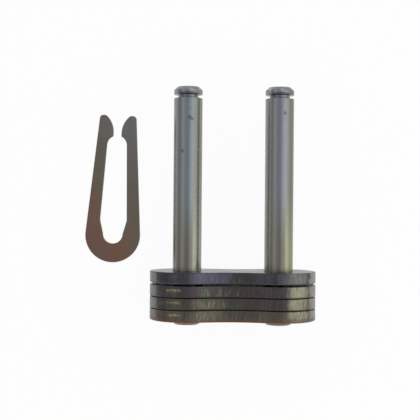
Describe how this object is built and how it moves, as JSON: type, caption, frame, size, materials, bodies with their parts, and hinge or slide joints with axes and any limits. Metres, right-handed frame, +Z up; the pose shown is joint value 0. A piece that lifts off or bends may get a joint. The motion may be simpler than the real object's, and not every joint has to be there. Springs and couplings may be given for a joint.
{
  "type": "roller chain connecting link",
  "caption": "Two-strand roller chain connecting link, opened: riveted pin link, loose middle and cover plates on the pins, spring clip beside it.",
  "frame": {"origin": "on the table, under the middle of the set's bounding box", "axes": "+X along the chain's pitch, from the clip towards the link; +Y along the pins, from the riveted plate towards their free ends; +Z up from the table"},
  "size_m": [0.049, 0.0492, 0.0154],
  "materials": {
    "plate_steel": "heat-darkened stamped steel, satin faces with streaked cut edges",
    "pin_steel": "ground hardened steel, satin to bright",
    "clip_steel": "tempered spring steel, brown to grey, satin"
  },
  "bodies": {
    "pin_link": {"outer_plate": "plate_steel", "left_pin": "pin_steel", "right_pin": "pin_steel", "spring_clip": "clip_steel"},
    "lower_middle": {"lower_middle_plate": "plate_steel"},
    "upper_middle": {"upper_middle_plate": "plate_steel"},
    "cover": {"cover_plate": "plate_steel"}
  },
  "joints": [
    {"name": "lower_middle_slide", "type": "slide", "parent": "pin_link", "child": "lower_middle", "axis": [0, 1, 0], "range_m": [0, 0.01789]},
    {"name": "upper_middle_slide", "type": "slide", "parent": "lower_middle", "child": "upper_middle", "axis": [0, 1, 0], "range_m": [0, 0.0035]},
    {"name": "cover_slide", "type": "slide", "parent": "upper_middle", "child": "cover", "axis": [0, 1, 0], "range_m": [0, 0.01779]}
  ]
}
